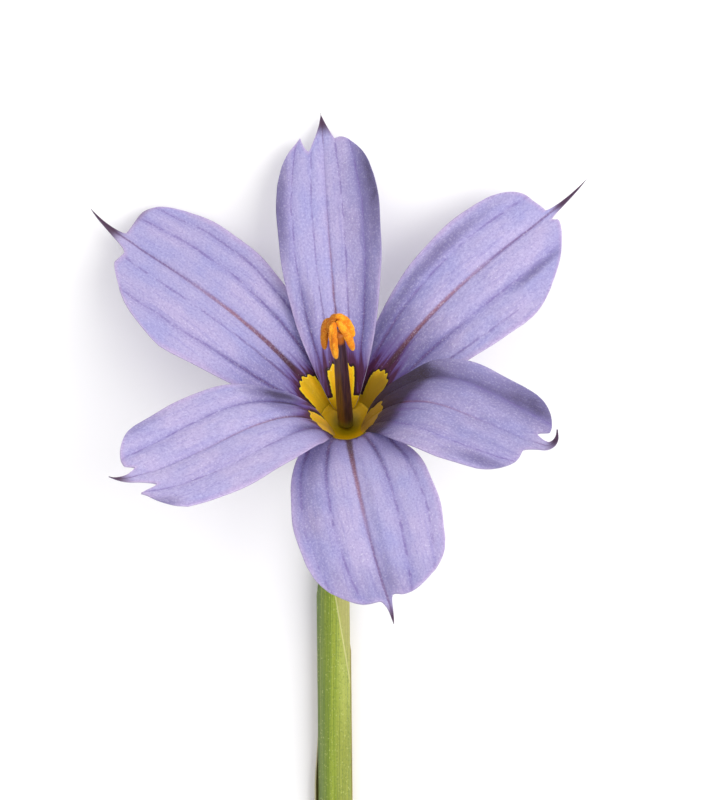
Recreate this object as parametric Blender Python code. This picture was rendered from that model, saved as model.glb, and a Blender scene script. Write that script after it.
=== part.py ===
"""A blue-eyed grass flower on its cut stem, lying on a surface with its face turned up.

The stem lies flat along -Y. The flower rests on the stem and on the backs of its three upper tepals.
Sizes are in millimetres and degrees, and one factor turns them to metres. The flower's own frame has its
root at the top of the ovary, z along the flower's axis, y to the upper tepal and x to the right.
"""

from dataclasses import dataclass
from math import cos, pi, radians, sin

import bpy
import numpy as np
from mathutils import Matrix, Vector

MM = 0.001

# Pose of the flower
ROOT_HEIGHT = 3.3  # top of the ovary above the surface
FLOWER_TILT = 38.0  # axis from the vertical, toward +Y
FLOWER_LEAN = -2.7  # axis to the left

# Tepals
TEPAL_THICKNESS = 0.6
TEPAL_ROWS = 16
TEPAL_COLUMNS = (-1.0, -0.84, -0.66, -0.5, -0.36, -0.24, -0.13, 0.0, 0.13, 0.24, 0.36, 0.5, 0.66, 0.84, 1.0)
INNER_ROOT_RADIUS = 1.15
INNER_ROOT_RISE = 0.3
OUTER_ROOT_RADIUS = 1.7
OUTER_ROOT_RISE = -0.1
SPREAD_END = 0.45  # share of the length over which a claw comes back to the real flower's narrower root
INNER_SPREAD = 0.4
OUTER_SPREAD = 0.6

# Stamens
COLUMN_FOOT = 0.25
COLUMN_LENGTH = 5.8
COLUMN_FOOT_RADIUS = 0.33
COLUMN_TOP_RADIUS = 0.15
ANTHER_WIDTH = 0.62
ANTHER_DEPTH = 0.44

# Ovary and pedicel
OVARY_TOP = -0.05
OVARY_LENGTH = 2.75
OVARY_RADIUS = 1.0
OVARY_FLARE = 0.75  # how far its top spreads under the tepals, over its narrow neck
PEDICEL_RADIUS = 0.3

# Stem and spathe, which lie along -Y; Y is measured from the flower's root
STEM_WIDTH = 1.5
STEM_DEPTH = 0.8
STEM_TOP = -17.6
STEM_END = -28.0
BRACT_THICKNESS = 0.6
BRACT_FOOT = -17.3
OUTER_BRACT_TIP = -3.6
INNER_BRACT_TIP = -6.6
OUTER_BRACT_HALF_WIDTH = 0.66
INNER_BRACT_HALF_WIDTH = 0.62
GAP = 0.3
STEM_LINE = ((-0.55, -3.0), (-0.53, -7.0), (-0.45, -15.0), (-0.4, -28.0))


@dataclass(frozen=True)
class EndHalf:
    """One side of a tepal's tip: shares of the blade's length, and where they lie across its half width."""

    notch: float
    notch_at: float
    lobe: float
    lobe_at: float
    shoulder: float


@dataclass(frozen=True)
class Tepal:
    """One tepal: its line, its outline and its tip. Angles are in degrees, lengths in millimetres."""

    azimuth: float
    bend: float
    length: float
    half_width: float
    base_slope: float
    tip_slope: float
    left: EndHalf
    right: EndHalf
    awn: float
    inner: bool
    ease: float = 2.0
    roll: float = 0.0
    tip_roll: float = 0.0
    skew: float = 0.0
    widest: float = 0.62
    narrow: float = 0.28
    awn_turn: float = 0.0
    awn_lift: float = 0.0


CLAW = 0.3
FILL = 0.8
AWN_TAPER = 1.8
CUP = 0.1
TIP_CUP = 0.05

TEPALS = {
    "inner_tepal_top": Tepal(
        azimuth=-5, bend=4, length=11.7, half_width=2.12, base_slope=62, tip_slope=6, widest=0.66,
        awn=0.095, awn_lift=12, inner=True,
        left=EndHalf(notch=0.955, notch_at=0.26, lobe=0.985, lobe_at=0.43, shoulder=0.82),
        right=EndHalf(notch=1.0, notch_at=0.26, lobe=1.0, lobe_at=0.47, shoulder=0.84),
    ),
    "inner_tepal_left": Tepal(
        azimuth=-130, bend=12, length=10.9, half_width=2.52, base_slope=70, tip_slope=4, ease=2.1,
        skew=-0.03, awn=0.09, awn_turn=12, awn_lift=15, inner=True,
        left=EndHalf(notch=0.95, notch_at=0.3, lobe=0.985, lobe_at=0.42, shoulder=0.88),
        right=EndHalf(notch=0.97, notch_at=0.2, lobe=1.0, lobe_at=0.35, shoulder=0.86),
    ),
    "inner_tepal_right": Tepal(
        azimuth=116, bend=-12, length=9.4, half_width=2.38, base_slope=74, tip_slope=-30, ease=1.5,
        skew=-0.04, awn=0.08, awn_turn=-60, awn_lift=50, inner=True,
        left=EndHalf(notch=0.97, notch_at=0.2, lobe=1.0, lobe_at=0.4, shoulder=0.88),
        right=EndHalf(notch=0.94, notch_at=0.3, lobe=0.95, lobe_at=0.45, shoulder=0.8),
    ),
    "outer_tepal_left": Tepal(
        azimuth=-55, bend=7, length=11.4, half_width=2.95, base_slope=58, tip_slope=0, skew=0.05,
        narrow=0.32, awn=0.165, awn_turn=12, inner=False,
        left=EndHalf(notch=0.965, notch_at=0.12, lobe=0.96, lobe_at=0.3, shoulder=0.74),
        right=EndHalf(notch=1.0, notch_at=0.1, lobe=0.985, lobe_at=0.55, shoulder=0.84),
    ),
    "outer_tepal_right": Tepal(
        azimuth=45, bend=9, length=11.6, half_width=2.87, base_slope=62, tip_slope=-5, roll=-4,
        tip_roll=-16, skew=0.1, awn=0.16, awn_turn=-25, inner=False,
        left=EndHalf(notch=0.99, notch_at=0.1, lobe=0.97, lobe_at=0.55, shoulder=0.82),
        right=EndHalf(notch=0.975, notch_at=0.12, lobe=0.985, lobe_at=0.3, shoulder=0.82),
    ),
    "outer_tepal_low": Tepal(
        azimuth=175, bend=-11, length=10.9, half_width=2.85, base_slope=62, tip_slope=-8, widest=0.66,
        awn=0.075, awn_turn=10, awn_lift=-10, skew=-0.03, inner=False,
        left=EndHalf(notch=0.97, notch_at=0.12, lobe=0.98, lobe_at=0.3, shoulder=0.8),
        right=EndHalf(notch=0.985, notch_at=0.16, lobe=0.985, lobe_at=0.3, shoulder=0.8),
    ),
}

# Each anther hangs from near the top of the column: its upper and lower end in the flower's frame
ANTHERS = {
    "anther_left": ((-0.62, 0.12, 6.5), (-0.9, -0.02, 4.8)),
    "anther_front": ((-0.1, -0.64, 6.55), (-0.02, -0.95, 4.95)),
    "anther_right": ((0.55, 0.14, 6.4), (0.86, -0.1, 4.75)),
}


def clear_scene():
    """Removes whatever objects the scene starts with."""
    for item in list(bpy.data.objects):
        bpy.data.objects.remove(item, do_unlink=True)


def finish(name, colour, roughness):
    """A plain Principled material with a linear colour and a roughness."""
    material = bpy.data.materials.new(name)
    material.use_nodes = True
    shader = material.node_tree.nodes["Principled BSDF"]
    shader.inputs["Base Color"].default_value = (*colour, 1.0)
    shader.inputs["Roughness"].default_value = roughness
    shader.inputs["Metallic"].default_value = 0.0
    return material


def add_object(name, points, faces, material, parent):
    """An object from points in millimetres and faces, shaded smooth over its soft bends."""
    mesh = bpy.data.meshes.new(name)
    mesh.from_pydata((np.asarray(points) * MM).tolist(), [], faces)
    mesh.materials.append(material)
    mesh.shade_smooth()
    mesh.set_sharp_from_angle(angle=radians(50))
    item = bpy.data.objects.new(name, mesh)
    bpy.context.scene.collection.objects.link(item)
    item.parent = parent
    return item


def sheet_faces(rows, columns):
    """Two triangles in each cell of a grid, all cut along the same diagonal."""
    faces = []
    for i in range(rows - 1):
        for j in range(columns - 1):
            a, b = i * columns + j, i * columns + j + 1
            c, d = a + columns, b + columns
            faces += [(a, b, d), (a, d, c)]
    return faces


def tube_faces(rings, sides):
    """Quads between rings of a closed tube, with a flat end on each."""
    faces = []
    for i in range(rings - 1):
        for j in range(sides):
            k = (j + 1) % sides
            faces.append((i * sides + j, i * sides + k, (i + 1) * sides + k, (i + 1) * sides + j))
    faces.append(tuple(reversed(range(sides))))
    faces.append(tuple((rings - 1) * sides + j for j in range(sides)))
    return faces


def thicken(item, thickness, offset):
    """Gives a sheet its thickness, all on the side that the offset's sign names."""
    solid = item.modifiers.new("thickness", "SOLIDIFY")
    solid.thickness = thickness * MM
    solid.offset = offset
    solid.use_rim = True


def smooth_step(x, low, high):
    t = np.clip((x - low) / (high - low), 0, 1)
    return t * t * (3 - 2 * t)


def midline(tepal, steps=240):
    """Shares, points, side and face directions along a tepal's midrib, from its root to its awn's tip."""
    share = np.linspace(0, 1 + tepal.awn, steps + 1)
    blade = np.clip(share, 0, 1)
    past = np.clip((share - 1) / tepal.awn, 0, 1)
    slope = tepal.tip_slope + (tepal.base_slope - tepal.tip_slope) * (1 - blade) ** tepal.ease
    slope = np.radians(slope + tepal.awn_lift * past)
    turn = np.radians(tepal.azimuth + tepal.bend * blade**1.5 + tepal.awn_turn * past)
    along = np.stack([np.cos(slope) * np.sin(turn), np.cos(slope) * np.cos(turn), np.sin(slope)], axis=1)
    side = np.stack([np.cos(turn), -np.sin(turn), np.zeros_like(turn)], axis=1)
    face = np.cross(side, along)
    roll = np.radians(tepal.roll + (tepal.tip_roll - tepal.roll) * blade)[:, None]
    side, face = side * np.cos(roll) + face * np.sin(roll), face * np.cos(roll) - side * np.sin(roll)
    radius = INNER_ROOT_RADIUS if tepal.inner else OUTER_ROOT_RADIUS
    rise = INNER_ROOT_RISE if tepal.inner else OUTER_ROOT_RISE
    spread = INNER_SPREAD if tepal.inner else OUTER_SPREAD
    azimuth = radians(tepal.azimuth)
    outward = np.array((sin(azimuth), cos(azimuth), 0.0))
    root = radius * outward + np.array((0.0, 0.0, rise))
    step = tepal.length * (1 + tepal.awn) / steps
    points = root + np.vstack([np.zeros(3), np.cumsum((along[1:] + along[:-1]) / 2 * step, axis=0)])
    points = points - spread * (1 - np.clip(1 - share / SPREAD_END, 0, 1) ** 2)[:, None] * outward
    return share, points, side, face


def half_width_at(share, tepal):
    """Half width along the blade: a narrow claw, widest past the middle, then rounding in."""
    claw = CLAW + (1 - CLAW) * np.sin(np.clip(share / tepal.widest, 0, 1) * pi / 2) ** FILL
    past = np.clip((share - tepal.widest) / (1 - tepal.widest), 0, 1.4)
    return tepal.half_width * claw * (1 - tepal.narrow * past**2)


def end_share(across, tepal):
    """How far along its midrib the blade reaches at each share of its width: awn, notch, lobe, shoulder."""
    half = tepal.left if across < 0 else tepal.right
    x = abs(across)
    if x < half.notch_at:
        return half.notch + (1 + tepal.awn - half.notch) * (1 - x / half.notch_at) ** AWN_TAPER
    if x < half.lobe_at:
        return half.notch + (half.lobe - half.notch) * smooth_step(x, half.notch_at, half.lobe_at)
    round_in = (x - half.lobe_at) / (1 - half.lobe_at)
    return half.shoulder + (half.lobe - half.shoulder) * (1 - round_in**2) ** 0.5


def tepal_sheet(tepal):
    """The grid of one tepal's surface, rows along the blade and columns across it."""
    along = np.linspace(0, 1, TEPAL_ROWS)[:, None]
    across = np.array(TEPAL_COLUMNS)[None, :]
    ends = np.array([end_share(t, tepal) for t in TEPAL_COLUMNS])[None, :]
    share = along * (1 + (ends - 1) * along**4)
    offset = across * half_width_at(share, tepal) * (1 + tepal.skew * np.sign(across))
    shares, points, side, face = midline(tepal)

    def read(table):
        return np.stack([np.interp(share, shares, table[:, k]) for k in range(3)], axis=-1)

    cup = CUP + (TIP_CUP - CUP) * np.clip(share, 0, 1)
    bow = cup * offset**2 / tepal.half_width
    return (read(points) + read(side) * offset[..., None] + read(face) * bow[..., None]).reshape(-1, 3)


def add_tepal(name, tepal, material, parent):
    """An inner tepal is thickened on its face and an outer one on its back, so the whorls stay apart."""
    faces = sheet_faces(TEPAL_ROWS, len(TEPAL_COLUMNS))
    item = add_object(name, tepal_sheet(tepal), faces, material, parent)
    thicken(item, TEPAL_THICKNESS, 1 if tepal.inner else -1)
    return item


def swept(path, widths, depths, sides, across=(1.0, 0.0, 0.0), lobes=0.0):
    """Rings of an oval section along a path; lobes pinches the section into two sacs."""
    path = np.asarray(path, float)
    tangents = np.gradient(path, axis=0)
    rings = []
    for point, tangent, width, depth in zip(path, tangents, widths, depths):
        tangent = tangent / np.linalg.norm(tangent)
        x = np.asarray(across) - tangent * np.dot(across, tangent)
        x = x / np.linalg.norm(x)
        y = np.cross(tangent, x)
        angle = np.arange(sides) * 2 * pi / sides
        reach = 1 - lobes * np.sin(angle) ** 4
        rings.append(point + np.outer(np.cos(angle) * width, x) + np.outer(np.sin(angle) * reach * depth, y))
    return np.vstack(rings)


def add_column(material, parent):
    """The tube of joined filaments, thicker at its foot."""
    rings, sides = 8, 12
    along = np.linspace(0, 1, rings)
    path = [(0.0, 0.0, COLUMN_FOOT + COLUMN_LENGTH * a) for a in along]
    radii = COLUMN_FOOT_RADIUS + (COLUMN_TOP_RADIUS - COLUMN_FOOT_RADIUS) * along
    return add_object(
        "staminal_column", swept(path, radii, radii, sides), tube_faces(rings, sides), material, parent
    )


def add_anther(name, ends, material, parent):
    """One anther: two sacs side by side, pinched between, hanging outward from the column's top."""
    rings, sides = 10, 16
    along = np.linspace(0, 1, rings)
    top, low = (np.array(end) for end in ends)
    outward = np.array(((top + low)[0], (top + low)[1], 0.0))
    outward = outward / np.linalg.norm(outward)
    path = top + np.outer(along, low - top) + np.outer(0.12 * np.sin(pi * along), outward)
    fullness = np.sqrt(np.clip(1 - (1.9 * along - 0.95) ** 2, 0.02, 1))
    across = np.cross(outward, (0.0, 0.0, 1.0))
    points = swept(
        path, ANTHER_WIDTH / 2 * fullness, ANTHER_DEPTH / 2 * fullness, sides, across=across, lobes=0.35
    )
    return add_object(name, points, tube_faces(rings, sides), material, parent)


def add_ovary(material, parent):
    """The three-lobed ovary: a flared top that carries the tepals, a neck and a round belly."""
    rings, sides = 13, 24
    angle = np.arange(sides) * 2 * pi / sides
    lobed = 1 + 0.05 * np.cos(3 * angle)
    points = []
    for i in range(rings):
        down = i / (rings - 1)
        belly = sin(pi * (0.1 + 0.86 * down**1.3))
        radius = OVARY_RADIUS * belly + OVARY_FLARE * (1 - down) ** 8
        z = OVARY_TOP - OVARY_LENGTH * down
        points += [(radius * r * cos(a), radius * r * sin(a), z) for r, a in zip(lobed, angle)]
    faces = [tuple(reversed(face)) for face in tube_faces(rings, sides)]
    return add_object("ovary", points, faces, material, parent)


def stem_x(y):
    """Where the stem's middle line lies at a place along it."""
    places = sorted((point[1], point[0]) for point in STEM_LINE)
    return np.interp(y, [place[0] for place in places], [place[1] for place in places])


def add_pedicel(frame, material, parent):
    """The stalk from the ovary's foot down to the surface and along it into the spathe."""
    foot = frame @ Vector((0.0, 0.0, OVARY_TOP - OVARY_LENGTH - GAP))
    down = (frame.to_3x3() @ Vector((0.0, 0.0, -1.0))).normalized()
    low = PEDICEL_RADIUS + 0.1
    end = Vector((stem_x(INNER_BRACT_TIP) + 0.1, INNER_BRACT_TIP + GAP + 0.1, low))
    reach = (foot - end).length
    first, second = foot + down * reach * 0.2, end + Vector((0.0, reach * 0.4, 0.0))
    share = np.linspace(0, 1, 12)[:, None]
    knots = [np.array(point) for point in (foot, first, second, end)]
    weights = ((1 - share) ** 3, 3 * share * (1 - share) ** 2, 3 * share**2 * (1 - share), share**3)
    path = sum(weight * knot for weight, knot in zip(weights, knots))
    radii = np.full(12, PEDICEL_RADIUS)
    faces = tube_faces(12, 10)
    return add_object("pedicel", swept(path, radii, radii, 10), faces, material, parent)


def add_stem(material, parent):
    """The flattened two-winged stem with its cut end and flat underside."""
    stations = np.linspace(STEM_TOP, STEM_END, 6)
    half, depth = STEM_WIDTH / 2, STEM_DEPTH
    section = (
        (-0.84 * half, 0.0), (0.84 * half, 0.0), (half, 0.3 * depth), (half, 0.7 * depth),
        (0.45 * half, depth), (-0.45 * half, depth), (-half, 0.7 * depth), (-half, 0.3 * depth),
    )
    points = [(stem_x(y) + x, y, z) for y in stations for x, z in section]
    return add_object("stem", points, tube_faces(len(stations), len(section)), material, parent)


def add_bract(name, tip, half_width, lift, left, material, parent):
    """One spathe leaf: parallel sides, a long pointed tip and a slightly arched back."""
    rows, columns = 14, 7
    along = np.linspace(0, 1, rows)
    y = BRACT_FOOT + (tip - BRACT_FOOT) * along
    width = half_width * np.clip((1 - along) / 0.22, 0.1, 1) ** 0.6
    points = []
    for place, half in zip(y, width):
        for across in np.linspace(-1, 1, columns):
            arch = 0.1 * (1 - across**2) * half / half_width
            points.append((stem_x(place) + left + across * half, place, lift + arch))
    item = add_object(name, points, sheet_faces(rows, columns), material, parent)
    thicken(item, BRACT_THICKNESS, 1)
    return item


def flower_frame():
    """Where the flower's own frame stands: its root over the surface, its axis tilted and leaning."""
    tilt, lean = radians(FLOWER_TILT), radians(FLOWER_LEAN)
    up = Vector((0.0, cos(tilt), -sin(tilt)))
    axis = Vector((sin(lean), cos(lean) * sin(tilt), cos(lean) * cos(tilt)))
    right = up.cross(axis)
    turn = Matrix((right, up, axis)).transposed()
    return Matrix.Translation(Vector((0.0, 0.0, ROOT_HEIGHT))) @ turn.to_4x4()


def add_empty(name, parent=None):
    empty = bpy.data.objects.new(name, None)
    bpy.context.scene.collection.objects.link(empty)
    empty.parent = parent
    return empty


def stand_on_origin(root):
    """Moves the whole part so that the middle of its box's underside is the origin."""
    bpy.context.view_layer.update()
    graph = bpy.context.evaluated_depsgraph_get()
    corners = []
    for item in bpy.data.objects:
        if item.type == "MESH":
            shape = item.evaluated_get(graph)
            corners += [shape.matrix_world @ vertex.co for vertex in shape.data.vertices]
    low = Vector(min(corner[k] for corner in corners) for k in range(3))
    high = Vector(max(corner[k] for corner in corners) for k in range(3))
    root.location = (-(low.x + high.x) / 2, -(low.y + high.y) / 2, -low.z)
    bpy.context.view_layer.update()


def main():
    clear_scene()
    root = add_empty("part")
    flower = add_empty("flower", root)
    frame = flower_frame()
    flower.matrix_local = Matrix.Translation(frame.to_translation() * MM) @ frame.to_3x3().to_4x4()
    for name, tepal in TEPALS.items():
        colour = (0.42, 0.36, 0.74) if tepal.inner else (0.40, 0.35, 0.72)
        add_tepal(name, tepal, finish(name + "_tissue", colour, 0.5), flower)
    add_column(finish("filament_tissue", (0.09, 0.03, 0.05), 0.5), flower)
    for name, ends in ANTHERS.items():
        add_anther(name, ends, finish(name + "_tissue", (0.86, 0.34, 0.02), 0.55), flower)
    add_ovary(finish("ovary_tissue", (0.2, 0.32, 0.07), 0.45), flower)
    add_pedicel(frame, finish("pedicel_tissue", (0.28, 0.38, 0.08), 0.45), root)
    add_stem(finish("stem_tissue", (0.28, 0.38, 0.07), 0.45), root)
    add_bract(
        "inner_bract", INNER_BRACT_TIP, INNER_BRACT_HALF_WIDTH, 0.0, 0.06,
        finish("inner_bract_tissue", (0.36, 0.38, 0.12), 0.5), root,
    )
    add_bract(
        "outer_bract", OUTER_BRACT_TIP, OUTER_BRACT_HALF_WIDTH, BRACT_THICKNESS + GAP, 0.0,
        finish("outer_bract_tissue", (0.3, 0.4, 0.09), 0.45), root,
    )
    stand_on_origin(root)


main()
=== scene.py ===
"""The looks of a blue-eyed grass flower that lies on a pale surface with its face turned up.

Lengths are in millimetres until a mesh is made, and angles are in degrees. The flower's own frame has its
root at the top of the ovary, z along the flower's axis, y toward the upper tepal and x to the right.
"""

import logging
from dataclasses import dataclass
from enum import Enum

import bpy
import numpy as np
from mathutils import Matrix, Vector

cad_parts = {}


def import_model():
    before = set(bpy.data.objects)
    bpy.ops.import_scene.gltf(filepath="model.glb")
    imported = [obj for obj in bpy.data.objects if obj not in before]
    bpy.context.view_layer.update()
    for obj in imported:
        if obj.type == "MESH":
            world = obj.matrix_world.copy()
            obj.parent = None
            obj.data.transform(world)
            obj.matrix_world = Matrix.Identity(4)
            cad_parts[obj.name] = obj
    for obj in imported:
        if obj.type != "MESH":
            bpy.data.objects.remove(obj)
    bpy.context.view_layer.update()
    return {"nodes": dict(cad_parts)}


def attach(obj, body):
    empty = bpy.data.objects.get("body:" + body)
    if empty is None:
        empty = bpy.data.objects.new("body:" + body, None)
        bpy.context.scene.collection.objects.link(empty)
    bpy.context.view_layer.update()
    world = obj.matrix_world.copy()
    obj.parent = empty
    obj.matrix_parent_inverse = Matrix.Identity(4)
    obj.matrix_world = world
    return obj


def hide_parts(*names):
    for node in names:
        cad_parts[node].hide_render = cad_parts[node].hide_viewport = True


MM = 0.001
BODY = "root"
LOG = logging.getLogger("flower")
RIGHT = np.array([1.0, 0.0, 0.0])
UP = np.array([0.0, 0.0, 1.0])

Triple = tuple[float, float, float]
Socket = bpy.types.NodeSocket
Tree = bpy.types.NodeTree


# Small helpers for colours, nodes and grids


def linear(code: str) -> tuple[float, float, float, float]:
    """Turns an sRGB hex colour into linear red, green, blue and a full alpha.

    Args:
        code: the colour, such as "#a9a3de".

    Returns:
        Four numbers from 0 to 1.
    """
    channels = np.array([int(code[k : k + 2], 16) for k in (1, 3, 5)]) / 255
    values = np.where(channels <= 0.04045, channels / 12.92, ((channels + 0.055) / 1.055) ** 2.4)
    return (*(float(value) for value in values), 1.0)


def add_node(tree: Tree, kind: str, sockets: dict[str | int, object], **settings: object) -> bpy.types.Node:
    """Adds a shader node with its values, its links and its settings.

    Args:
        tree: the material's node tree.
        kind: the node's type, such as "ShaderNodeMix".
        sockets: for each input, by name or number, its value or the output that is linked to it.
        settings: the node's own properties and their values.

    Returns:
        The new node.
    """
    node = tree.nodes.new(kind)
    for name, value in settings.items():
        setattr(node, name, value)
    for key, value in sockets.items():
        if isinstance(value, Socket):
            tree.links.new(value, node.inputs[key])
        else:
            node.inputs[key].default_value = value
    return node


def smooth_step(x: np.ndarray, low: float, high: float) -> np.ndarray:
    """Rises smoothly from 0 at low to 1 at high: t squared times (3 - 2 t), with t the share of the way."""
    t = np.clip((x - low) / (high - low), 0, 1)
    return t * t * (3 - 2 * t)


def bell(distance: np.ndarray, spread: float) -> np.ndarray:
    """Falls from 1 as a bell curve: e to the power of minus the square of the distance over the spread."""
    return np.exp(-((distance / spread) ** 2))


def unit(vectors: np.ndarray) -> np.ndarray:
    """Scales each vector of an array to a length of 1."""
    return vectors / np.linalg.norm(vectors, axis=-1, keepdims=True)


def rows_down(count: int) -> np.ndarray:
    """Shares from 0 to 1 down the rows of a grid, as a column."""
    return np.linspace(0, 1, count)[:, None]


def full_turn(sides: int) -> np.ndarray:
    """Angles in equal steps round a full turn, as a row."""
    return np.linspace(0, 2 * np.pi, sides + 1)[None, :-1]


def stacked(x: np.ndarray | float, y: np.ndarray | float, z: np.ndarray | float) -> np.ndarray:
    """Stacks three measures into vectors, each measure repeated over the grid that they span together."""
    return np.stack(np.broadcast_arrays(x, y, z), axis=-1).astype(float)


# Finishes: what a surface is made of, as coats of pigment laid where its measures say


class Pattern(Enum):
    """Where a measure comes from: an attribute, soft noise, cells of chance brightness, or domed cells."""

    ATTRIBUTE = "attribute"
    NOISE = "noise"
    CELLS = "cells"
    DOMES = "domes"


class Space(Enum):
    """The coordinates of a pattern: millimetres along and across the tissue, or the object's own."""

    FLOW = "flow"
    OBJECT = "object"


@dataclass(frozen=True)
class Measure:
    """A number that varies over a surface, which pigments and relief go by.

    ATTRIBUTE reads one axis of an attribute. The other patterns have patches of the given size in
    millimetres, and DOMES gives the distance from each cell's middle. A wobble adds another measure, less
    its middle value of 0.5, times an amount, so that outlines waver.
    """

    name: str
    pattern: Pattern
    source: str = ""
    axis: int = 0
    size: Triple = (1.0, 1.0, 1.0)
    space: Space = Space.FLOW
    detail: float = 2.0
    wobble: tuple[str, float] | None = None

    def build(self, tree: Tree, ready: dict[str, Socket]) -> Socket:
        """Adds the nodes of this measure.

        Args:
            tree: the material's node tree.
            ready: the sockets of the measures that are built already, by name.

        Returns:
            The socket that carries the number.
        """
        if self.pattern is Pattern.ATTRIBUTE:
            read = add_node(tree, "ShaderNodeAttribute", {}, attribute_name=self.source)
            socket = add_node(tree, "ShaderNodeSeparateXYZ", {0: read.outputs["Vector"]}).outputs[self.axis]
        else:
            socket = self.texture(tree)
        if self.wobble:
            other, amount = self.wobble
            sockets = {0: ready[other], 1: amount, 2: -amount / 2}
            moved = add_node(tree, "ShaderNodeMath", sockets, operation="MULTIPLY_ADD")
            sockets = {0: socket, 1: moved.outputs[0]}
            socket = add_node(tree, "ShaderNodeMath", sockets, operation="ADD").outputs[0]
        return socket

    def texture(self, tree: Tree) -> Socket:
        """Adds the noise or the cells, stretched to their size.

        Args:
            tree: the material's node tree.

        Returns:
            The socket that carries the pattern.
        """
        if self.space is Space.FLOW:
            place = add_node(tree, "ShaderNodeAttribute", {}, attribute_name="flow").outputs["Vector"]
            per_unit = 1.0
        else:
            place = add_node(tree, "ShaderNodeTexCoord", {}).outputs["Object"]
            per_unit = 1 / MM
        scale = tuple(per_unit / side for side in self.size)
        scaled = add_node(tree, "ShaderNodeVectorMath", {0: place, 1: scale}, operation="MULTIPLY")
        sockets = {"Vector": scaled.outputs[0], "Scale": 1.0}
        if self.pattern is Pattern.NOISE:
            return add_node(tree, "ShaderNodeTexNoise", sockets | {"Detail": self.detail}).outputs[0]
        cells = add_node(tree, "ShaderNodeTexVoronoi", sockets)
        if self.pattern is Pattern.DOMES:
            return cells.outputs["Distance"]
        return add_node(tree, "ShaderNodeSeparateColor", {0: cells.outputs["Color"]}).outputs[0]


@dataclass(frozen=True)
class Band:
    """Where a coat lies: it starts at one value of a measure and is whole at the other."""

    measure: str
    none: float
    full: float

    def cover(self, tree: Tree, ready: dict[str, Socket], most: float | Socket) -> Socket:
        """Adds a smooth step from 0, where the band starts, to the most that it covers.

        Args:
            tree: the material's node tree.
            ready: the measures' sockets by name.
            most: the cover where the band is whole, a number or a socket.

        Returns:
            The socket that carries the cover.
        """
        sockets = {0: ready[self.measure], 1: self.none, 2: self.full, 3: 0.0, 4: 1.0}
        step = add_node(tree, "ShaderNodeMapRange", sockets, interpolation_type="SMOOTHSTEP")
        sockets = {0: step.outputs[0], 1: most}
        return add_node(tree, "ShaderNodeMath", sockets, operation="MULTIPLY").outputs[0]


@dataclass(frozen=True)
class Coat:
    """A pigment, how strongly it covers, and the bands that it lies in, all of them at once."""

    colour: str
    strength: float
    bands: tuple[Band, ...]


def coat(colour: str, strength: float, **bands: tuple[float, ...]) -> Coat:
    """A coat whose bands are named by their measures.

    Args:
        colour: the pigment's colour.
        strength: how strongly it covers, 0 to 1.
        bands: for each measure, where the coat starts and where it is whole, or two such pairs.

    Returns:
        The coat.
    """
    pairs = [Band(name, *ends[k : k + 2]) for name, ends in bands.items() for k in range(0, len(ends), 2)]
    return Coat(colour, strength, tuple(pairs))


@dataclass(frozen=True)
class Relief:
    """Fine bumps that follow a measure, with their height in millimetres; a minus sign makes hollows."""

    measure: str
    height: float


@dataclass(frozen=True)
class Finish:
    """One material: its ground colour, its measures, the coats over the ground, its bumps and its gloss."""

    name: str
    ground: str
    measures: tuple[Measure, ...]
    coats: tuple[Coat, ...]
    reliefs: tuple[Relief, ...] = ()
    roughness: float = 0.5
    specular: float = 0.5
    ior: float = 1.45
    sheen: float = 0.0
    sheen_tint: str = "#ffffff"
    sheen_roughness: float = 0.5
    glint: Band | None = None
    glint_roughness: float = 0.25

    def build(self) -> bpy.types.Material:
        """Builds the material: each coat is mixed over what lies below it by the product of its bands.

        Returns:
            The material.
        """
        material = bpy.data.materials.new(self.name)
        material.use_nodes = True
        tree = material.node_tree
        tree.nodes.clear()
        ready: dict[str, Socket] = {}
        for measure in self.measures:
            ready[measure.name] = measure.build(tree, ready)
        colour: object = linear(self.ground)
        for layer in self.coats:
            cover: float | Socket = layer.strength
            for band in layer.bands:
                cover = band.cover(tree, ready, cover)
            sockets = {0: cover, 6: colour, 7: linear(layer.colour)}
            colour = add_node(tree, "ShaderNodeMix", sockets, data_type="RGBA").outputs[2]
        surface = {
            "Base Color": colour,
            "Roughness": self.roughness,
            "IOR": self.ior,
            "Specular IOR Level": self.specular,
            "Sheen Weight": self.sheen,
            "Sheen Roughness": self.sheen_roughness,
            "Sheen Tint": linear(self.sheen_tint),
        }
        if self.glint:
            sockets = {0: self.glint.cover(tree, ready, 1.0), 2: self.roughness, 3: self.glint_roughness}
            surface["Roughness"] = add_node(tree, "ShaderNodeMix", sockets, data_type="FLOAT").outputs[0]
        for relief in self.reliefs:
            sockets = {"Height": ready[relief.measure], "Distance": abs(relief.height) * MM, "Strength": 1.0}
            if "Normal" in surface:
                sockets["Normal"] = surface["Normal"]
            surface["Normal"] = add_node(tree, "ShaderNodeBump", sockets, invert=relief.height < 0).outputs[0]
        shader = add_node(tree, "ShaderNodeBsdfPrincipled", surface)
        add_node(tree, "ShaderNodeOutputMaterial", {"Surface": shader.outputs[0]})
        return material


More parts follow.
